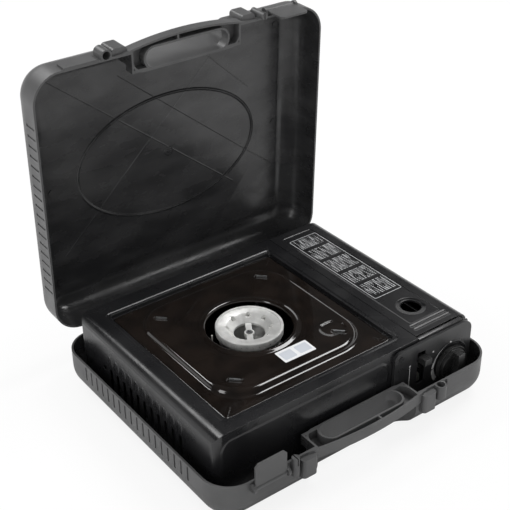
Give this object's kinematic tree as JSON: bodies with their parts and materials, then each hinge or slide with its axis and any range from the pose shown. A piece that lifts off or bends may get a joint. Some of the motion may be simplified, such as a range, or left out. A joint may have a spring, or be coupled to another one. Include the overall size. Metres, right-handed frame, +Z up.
{
  "type": "butane cassette stove",
  "caption": "Portable single-burner gas stove for a 69 mm cartridge, with its drip tray stowed upside down, in an open two-shell carry case with a half handle on each shell.",
  "frame": {"origin": "on the table, under the middle of the case base", "axes": "+X to the right seen from the controls, +Y to the hinge at the back, +Z up"},
  "size_m": [0.362, 0.3676, 0.3692],
  "materials": {
    "case_plastic": "satin black moulded polypropylene",
    "painted_steel": "satin black powder coat",
    "enamel": "glossy dark brown-black enamel",
    "steel": "zinc plated",
    "cast_alloy": "as cast, lightly blasted",
    "brass": "turned",
    "knob_plastic": "satin black heat-proof plastic",
    "rubber": "matt",
    "lead_sheath": "silicone sheath",
    "igniter_plastic": "matt",
    "ceramic": "glazed ceramic"
  },
  "bodies": {
    "case": {"case_base": "case_plastic", "case_hinge_pins": "steel"},
    "lid": {"case_lid": "case_plastic"},
    "flap_left": {"latch_left": "case_plastic"},
    "flap_right": {"latch_right": "case_plastic"},
    "stove": {"body_shell": "painted_steel", "base_pan": "painted_steel", "rear_panel": "painted_steel", "control_bulkhead": "painted_steel", "partition": "steel", "heat_shield": "steel", "lid_pivot_pins": "steel", "control_fascia": "painted_steel", "regulator_body": "cast_alloy", "diaphragm_cover": "steel", "inlet_seal": "rubber", "gas_jet": "brass", "cartridge_cradle": "steel", "piezo_igniter": "igniter_plastic", "igniter_lead": "lead_sheath", "electrode": "ceramic", "burner_body": "cast_alloy", "burner_head": "cast_alloy", "burner_screw": "steel", "burner_bracket": "steel", "rubber_feet": "rubber", "base_screws": "steel", "fascia_screws": "steel", "cover_screws": "steel"},
    "bay_cover": {"cartridge_lid": "painted_steel"},
    "valve": {"knob": "knob_plastic", "valve_stem": "brass"},
    "lever": {"lock_lever": "knob_plastic"},
    "pusher": {"link_bar": "steel", "pusher_plate": "painted_steel", "pusher_spring": "steel"},
    "tray": {"drip_tray": "enamel", "pan_support_back": "steel", "pan_support_left": "steel", "pan_support_front": "steel", "pan_support_right": "steel"}
  },
  "joints": [
    {"name": "lid_hinge", "type": "hinge", "parent": "case", "child": "lid", "pos_m": [0, 0.1582, 0.048], "axis": [-1, 0, 0], "range_deg": [-88, 0]},
    {"name": "latch_left_hinge", "type": "hinge", "parent": "case", "child": "flap_left", "pos_m": [-0.126, -0.1563, 0.041], "axis": [1, 0, 0], "range_deg": [0, 100]},
    {"name": "latch_right_hinge", "type": "hinge", "parent": "lid", "child": "flap_right", "pos_m": [0.126, 0.15422, 0.36255], "axis": [-1, 0, 0], "range_deg": [0, 100]},
    {"name": "stove_lift", "type": "slide", "parent": "case", "child": "stove", "axis": [0, 0, 1], "range_m": [0, 0.06]},
    {"name": "tray_lift", "type": "slide", "parent": "stove", "child": "tray", "axis": [0, 0, 1], "range_m": [0, 0.04]},
    {"name": "cartridge_lid_hinge", "type": "hinge", "parent": "stove", "child": "bay_cover", "pos_m": [0.164, 0, 0.0565], "axis": [0, 1, 0], "range_deg": [0, 90]},
    {"name": "knob_turn", "type": "hinge", "parent": "stove", "child": "valve", "pos_m": [0.1386, -0.13, 0.041], "axis": [0, -1, 0], "range_deg": [0, 105]},
    {"name": "lever_slide", "type": "slide", "parent": "stove", "child": "lever", "axis": [0, 0, -1], "range_m": [0, 0.027]},
    {"name": "pusher_slide", "type": "slide", "parent": "stove", "child": "pusher", "axis": [0, -1, 0], "range_m": [0, 0.009]}
  ],
  "couplings": [
    {"joint": "pusher_slide", "follows": "lever_slide", "ratio": 0.3333}
  ]
}
